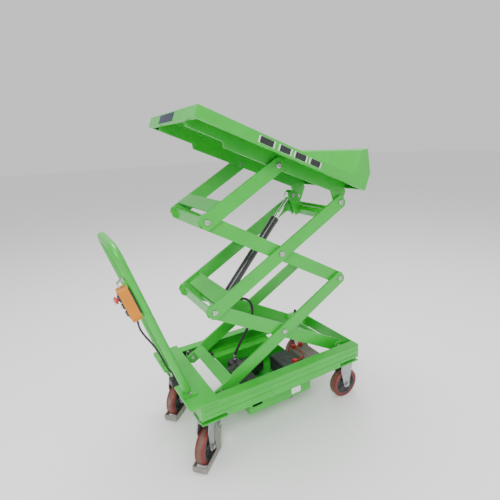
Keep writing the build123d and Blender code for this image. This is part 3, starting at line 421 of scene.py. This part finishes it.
# ---- wheels ------------------------------------------------------------------
for side in ("near", "far"):
    for end in ("left", "right"):
        node = side + "_" + end + "_wheel"
        c = centre_of(node)
        axis = Vector((0, 1, 0))
        if end == "left":
            axis = Vector(joints[node + "_spin"]["axis"])
        tyre = [(0.0575, -0.0190), (0.0600, -0.0208), (0.0640, -0.0210), (0.0690, -0.0205),
                (0.0725, -0.0185), (0.0742, -0.0150), (0.0748, -0.0095), (0.0750, -0.0090),
                (0.0750, 0.0090), (0.0748, 0.0095), (0.0742, 0.0150), (0.0725, 0.0185), (0.0690, 0.0205),
                (0.0640, 0.0210), (0.0600, 0.0208), (0.0575, 0.0190)]
        bands = [1 if k == 7 else 0 for k in range(len(tyre))]
        tyre_ob = lathe(node + "_tyre", c, axis, tyre, [tread_red, tread_band], node, steps=96, bands=bands)
        core = [(0.0062, -0.0235), (0.0140, -0.0235), (0.0152, -0.0222), (0.0155, -0.0165),
                (0.0190, -0.0120), (0.0270, -0.0095), (0.0400, -0.0095), (0.0470, -0.0125),
                (0.0495, -0.0190), (0.0510, -0.0205), (0.0576, -0.0192), (0.0576, 0.0192), (0.0510, 0.0205),
                (0.0495, 0.0190), (0.0470, 0.0125), (0.0400, 0.0095), (0.0270, 0.0095), (0.0190, 0.0120),
                (0.0155, 0.0165), (0.0152, 0.0222), (0.0140, 0.0235), (0.0062, 0.0235)]
        lathe(node + "_core", c, axis, core, hub_dark, node, steps=96)
        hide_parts(node)
        a, b, n = basis(axis)
        for s in (-1, 1):
            seal = [(0.0066, 0.0), (0.0120, 0.0), (0.0120, 0.0009), (0.0105, 0.0013), (0.0080, 0.0009),
                    (0.0066, 0.0006)]
            lathe(node + "_seal_" + ("a" if s < 0 else "b"), c + n * s * 0.0226, n * s, seal, steel, node,
                  steps=40)
            # ribs on the web of the core
            for k in range(5):
                ang = 2 * math.pi * k / 5
                ray = a * math.cos(ang) + b * math.sin(ang)
                across = n.cross(ray)
                slab(node + "_rib_" + ("a" if s < 0 else "b") + str(k), c + ray * 0.033 + n * s * 0.0088,
                     ray, across * s, 0.030, 0.007, 0.006, hub_dark, node, corner=0.002)

# ---- caster detail -----------------------------------------------------------
for side in ("near", "far"):
    j = joints[side + "_swivel"]
    p = Vector(j["pos_m"])
    body = side + "_swivel_caster"
    lathe(side + "_race_ring", (p.x, p.y, 0.1838), (0, 0, 1),
          [(0.022, 0.0), (0.0335, 0.0), (0.0352, 0.0015), (0.0355, 0.0045), (0.0335, 0.0060),
           (0.0345, 0.0080), (0.0340, 0.0110), (0.0320, 0.0125), (0.022, 0.0128)], zinc, body, steps=64)
    lathe(side + "_king_pin", (p.x, p.y, 0.1775), (0, 0, 1),
          [(0.0, 0.0), (0.0060, 0.0), (0.0085, 0.0016), (0.0095, 0.0045), (0.0095, 0.0064), (0.0, 0.0064)],
          steel, body, steps=40)

# ---- pins, rollers and cylinder trim ------------------------------------------
pin_spots = {
    "base": [joints["lift"]["pos_m"]],
    "lower_inner_arms": [joints["lower_scissor"]["pos_m"], joints["left_elbow"]["pos_m"]],
    "upper_outer_arms": [joints["upper_scissor"]["pos_m"], joints["platform_pivot"]["pos_m"]],
    "upper_inner_arms": [joints["tilt_link_pivot"]["pos_m"]],
}
heads_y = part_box("right_elbow_pins")[1][1]
lo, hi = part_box("right_elbow_pins")
pin_spots["lower_outer_arms"] = [((lo[0] + hi[0]) / 2, 0, (lo[2] + hi[2]) / 2)]
lo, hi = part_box("tilt_link_pins")
pin_spots["tilt_link"] = [((lo[0] + hi[0]) / 2, 0, (lo[2] + hi[2]) / 2)]
count = 0
for body, spots in pin_spots.items():
    for spot in spots:
        for s in (-1, 1):
            count += 1
            # domed cap with a lubrication dimple, seated on the pin head
            lathe("pin_cap_%02d" % count, (spot[0], s * heads_y, spot[2]), (0, s, 0),
                  [(0.0, -0.0010), (0.0020, -0.0010), (0.0026, 0.0003), (0.0060, 0.0012), (0.0094, 0.0008),
                   (0.0110, -0.0006), (0.0110, -0.0020), (0.0, -0.0020)], steel, body, steps=48)
for s, tag in ((-1, "near"), (1, "far")):
    c = centre_of(tag + "_roller")
    lathe(tag + "_roller_cap", (c.x, s * (abs(c.y) + 0.0150), c.z), (0, s, 0),
          [(0.0, 0.0), (0.0070, 0.0), (0.0098, 0.0006), (0.0110, 0.0016), (0.0, 0.0022)], steel,
          "lower_outer_arms", steps=40)

cylinder_y = 0.045
slide_axis = Vector(joints["rod_slide"]["axis"]).normalized()
pivot = Vector(joints["barrel_pivot"]["pos_m"])
pivot.y = cylinder_y


def on_cylinder(along):
    return pivot + slide_axis * along


lathe("barrel_gland_nut", on_cylinder(0.4762), slide_axis,
      [(0.0104, 0.0), (0.0205, 0.0), (0.0212, 0.0015), (0.0212, 0.0075), (0.0195, 0.0090), (0.0150, 0.0092),
       (0.0140, 0.0075), (0.0118, 0.0070), (0.0104, 0.0085)], black_paint, "cylinder_barrel", steps=64)
lathe("barrel_weld_ring", on_cylinder(0.0285), slide_axis,
      [(0.0196, -0.003), (0.0212, -0.0018), (0.0218, 0.0002), (0.0212, 0.0022), (0.0196, 0.0032)],
      black_paint, "cylinder_barrel", steps=64)
lathe("barrel_head_ring", on_cylinder(0.452), slide_axis,
      [(0.0197, -0.002), (0.0206, -0.0016), (0.0209, 0.0), (0.0206, 0.0016), (0.0197, 0.002)], black_paint,
      "cylinder_barrel", steps=64)

# ---- welds -------------------------------------------------------------------
weld_count = 0


def weld(p0, p1, body, size=0.0032, material=None):
    """Rippled fillet bead laid from p0 to p1."""
    global weld_count
    weld_count += 1
    p0, p1 = Vector(p0), Vector(p1)
    n = p1 - p0
    length = n.length
    a, b, n = basis(n)
    rows = max(6, int(length / 0.0022))
    verts, faces = [], []
    for i in range(rows + 1):
        h = length * i / rows
        ripple = size * (0.86 + 0.14 * abs(math.sin(h / 0.0036 * math.pi)) + rng.uniform(-0.04, 0.04))
        if i in (0, rows):
            ripple *= 0.35
        for k in range(10):
            ang = 2 * math.pi * k / 10
            verts.append(p0 + n * h + (a * math.cos(ang) + b * math.sin(ang)) * ripple)
    for i in range(rows):
        for k in range(10):
            m = (k + 1) % 10
            faces.append((i * 10 + k, i * 10 + m, (i + 1) * 10 + m, (i + 1) * 10 + k))
    faces.append(tuple(range(10))[::-1])
    faces.append(tuple(range(rows * 10, rows * 10 + 10)))
    return mesh_object("weld_%02d" % weld_count, verts, faces, material or green, body)


lean = math.radians(29.16)


def on_bar(start, angle, along, normal, y):
    """Point in a bar's frame, in metres, at y."""
    return Vector((start[0] + along * math.cos(angle) - normal * math.sin(angle), y,
                   start[2] + along * math.sin(angle) + normal * math.cos(angle)))


elbow = joints["left_elbow"]["pos_m"]
top_left = joints["tilt_link_pivot"]["pos_m"]
lift_pos = joints["lift"]["pos_m"]
low_left = (elbow[0], 0, lift_pos[2])
top_right = joints["platform_pivot"]["pos_m"]
for s in (-1, 1):
    y = s * 0.1475
    weld(on_bar(elbow, -lean, -0.0165, 0.0125, y), on_bar(elbow, -lean, 0.0095, -0.0270, y),
         "lower_inner_arms")
    weld(on_bar(top_left, -lean, -0.0165, 0.0125, y), on_bar(top_left, -lean, 0.0095, -0.0270, y),
         "upper_inner_arms")
    y = s * 0.1612
    weld(on_bar(low_left, lean, 0.023, 0.0146, y), on_bar(low_left, lean, 0.069, 0.0146, y),
         "lower_outer_arms")
    weld(on_bar(elbow, lean, 0.657, 0.0155, y), on_bar(elbow, lean, 0.657, -0.0155, y), "upper_outer_arms")

# ---- rolled lips along the side rails ---------------------------------------------
rail_face = 0.250
rail_x = (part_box("end_plates")[0][0] + 0.012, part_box("end_plates")[1][0] - 0.012)


def lip(name, y, z, height, proud, side):
    """Half-round edge strip along a rail's outer face."""
    x0, x1 = rail_x
    steps = 10
    verts, faces = [], []
    for x, squeeze in ((x0, 0.4), (x0 + 0.004, 1.0), (x1 - 0.004, 1.0), (x1, 0.4)):
        for k in range(steps + 1):
            ang = math.pi * (k / steps - 0.5)
            verts.append((x, y + side * proud * squeeze * math.cos(ang),
                          z + height / 2 * squeeze * math.sin(ang)))
    ring = steps + 1
    for row in range(3):
        for k in range(steps):
            a = row * ring + k
            near_quad = (a, a + ring, a + ring + 1, a + 1)
            far_quad = (a, a + 1, a + ring + 1, a + ring)
            faces.append(near_quad if side < 0 else far_quad)
        a = row * ring
        faces.append((a, a + steps, a + ring + steps, a + ring) if side < 0 else
                     (a, a + ring, a + ring + steps, a + steps))
    faces.append(tuple(range(ring)))
    faces.append(tuple(range(3 * ring, 4 * ring))[::-1])
    return mesh_object(name, verts, faces, green, "base")


for side, tag in ((-1, "near"), (1, "far")):
    lip(tag + "_rail_top_lip", side * rail_face, 0.2885, 0.011, 0.0045, side)
    lip(tag + "_rail_middle_lip", side * rail_face, 0.2660, 0.006, 0.0025, side)
    lip(tag + "_rail_bottom_lip", side * rail_face, 0.2360, 0.010, 0.0040, side)

# ---- platform plates ------------------------------------------------------------
tilt = math.radians(22.093)
skirt_face = 0.268
skirt_middle = 0.091
deck_left = -0.798
border_depth = 0.0003
v_dir = Vector((math.sin(tilt), 0, math.cos(tilt)))
u_dir = Vector((v_dir.z, 0, -v_dir.x))
origin = Vector((top_right[0], 0, top_right[2]))


def on_platform(u, y, v):
    return origin + u_dir * u + v_dir * v + Vector((0, y, 0))


for k, (u, width) in enumerate(((-0.515, 0.060), (-0.430, 0.050), (-0.354, 0.053), (-0.278, 0.050))):
    slab("skirt_plate_border_%d" % k, on_platform(u, -skirt_face, skirt_middle), u_dir, v_dir,
         width + 0.012, 0.025, 0.0004, label_white, "platform", corner=0.002, edge=0.0002, lift=0.0)
    slab("skirt_plate_near_%d" % k, on_platform(u, -skirt_face - border_depth, skirt_middle), u_dir, v_dir,
         width, 0.024, 0.0006, plate_dark, "platform", corner=0.002, edge=0.0003, lift=0.0)
slab("skirt_plate_left", on_platform(deck_left, 0.04, skirt_middle), (0, -1, 0), v_dir, 0.170, 0.034,
     0.0006, plate_blue, "platform", corner=0.002, edge=0.0003)

# ---- batteries and power pack ------------------------------------------------------
for node, mat in (("left_battery", battery_dark), ("right_battery", battery_brown)):
    lo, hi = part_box(node)
    cx, cy, top = (lo[0] + hi[0]) / 2, (lo[1] + hi[1]) / 2, hi[2]
    slab(node + "_lid", (cx, cy, top - 0.0006), (1, 0, 0), (0, 1, 0), hi[0] - lo[0] - 0.008,
         hi[1] - lo[1] - 0.008, 0.0026, mat, "base", corner=0.006)
    slab(node + "_vent_cover", (cx, cy, top + 0.0016), (1, 0, 0), (0, 1, 0), 0.040, 0.130, 0.0022, mat,
         "base", corner=0.004)
    for k in range(3):
        lathe(node + "_vent_%d" % k, (cx, cy - 0.045 + 0.045 * k, top + 0.0036), (0, 0, 1),
              [(0.0, 0.0014), (0.0060, 0.0014), (0.0075, 0.0006), (0.0085, 0.0), (0.0085, -0.0005),
               (0.0, -0.0005)], mat, "base", steps=36)
    lathe(node + "_terminal", (cx - 0.030, lo[1] + 0.018, top), (0, 0, 1),
          [(0.0, 0.0110), (0.0038, 0.0110), (0.0046, 0.0102), (0.0046, 0.0050), (0.0085, 0.0050),
           (0.0085, 0.0), (0.0, 0.0)], steel, "base", steps=36)
lo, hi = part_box("power_tray")
slab("tray_label", (lo[0] + 0.262, lo[1] + 0.0001, 0.186), (1, 0, 0), (0, 0, 1), 0.050, 0.030, 0.0008,
     label_white, "base", corner=0.002, edge=0.0003)
for z, x in ((0.158, 0.226), (0.158, 0.238)):
    lathe("tray_rivet_%d" % int(x * 1000), (lo[0] + x, lo[1], z), (0, -1, 0),
          [(0.0, 0.0016), (0.0024, 0.0014), (0.0040, 0.0), (0.0, 0.0)], plastic, "base", steps=24)
motor_y = 0.070
motor_z = 0.171
fin_pitch = 0.010
for k in range(9):
    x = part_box("pump_motor")[0][0] + 0.012 + fin_pitch * k
    lathe("motor_fin_%d" % k, (x, motor_y, motor_z), (1, 0, 0),
          [(0.0455, 0.0), (0.0472, 0.0008), (0.0472, 0.0024), (0.0455, 0.0032)], black_paint, "base",
          steps=64)

# ---- pendant trim ----------------------------------------------------------------
inward = Vector(joints["up_button_press"]["axis"]).normalized()
for node in ("up_button", "down_button"):
    c = centre_of(node)
    lathe(node + "_bezel", c - inward * -0.0012, -inward,
          [(0.0083, -0.0010), (0.0108, -0.0010), (0.0112, 0.0), (0.0108, 0.0012), (0.0083, 0.0012)],
          plastic, "base", steps=40)
c = centre_of("stop_button")
lathe("stop_button_crown", c - inward * 0.0088, -inward,
      [(0.0, 0.0016), (0.0070, 0.0012), (0.0115, 0.0), (0.0120, -0.0010), (0.0, -0.0010)], red_plastic,
      "stop_button", steps=48)

# ---- stage ---------------------------------------------------------------------
floor_me = bpy.data.meshes.new("floor")
floor_me.from_pydata([(-30, -30, 0), (30, -30, 0), (30, 30, 0), (-30, 30, 0)], [], [(0, 1, 2, 3)])
floor = bpy.data.objects.new("floor", floor_me)
bpy.context.scene.collection.objects.link(floor)
pale = bpy.data.materials.new("pale_floor")
pale.use_nodes = True
pale.node_tree.nodes["Principled BSDF"].inputs["Base Color"].default_value = (0.92, 0.92, 0.92, 1)
pale.node_tree.nodes["Principled BSDF"].inputs["Roughness"].default_value = 0.9
pale.node_tree.nodes["Principled BSDF"].inputs["Specular IOR Level"].default_value = 0.1
floor.data.materials.append(pale)

world = bpy.data.worlds.new("studio")
bpy.context.scene.world = world
world.use_nodes = True
world.node_tree.nodes["Background"].inputs["Color"].default_value = (1.0, 1.0, 1.0, 1)
world.node_tree.nodes["Background"].inputs["Strength"].default_value = 0.85


def area(name, loc, target, size, power):
    light = bpy.data.lights.new(name, "AREA")
    light.shape = "RECTANGLE"
    light.size = size
    light.size_y = size
    light.energy = power
    ob = bpy.data.objects.new(name, light)
    bpy.context.scene.collection.objects.link(ob)
    aim = Vector(target) - Vector(loc)
    ob.matrix_world = Matrix.Translation(loc) @ aim.to_track_quat("-Z", "Y").to_matrix().to_4x4()


area("key", (-2.2, -3.0, 3.6), (0, 0, 0.6), 1.6, 150)
area("fill", (3.2, -2.0, 2.0), (0, 0, 0.6), 2.5, 20)
area("top", (0.2, 0.6, 4.2), (0, 0, 0.6), 2.0, 130)
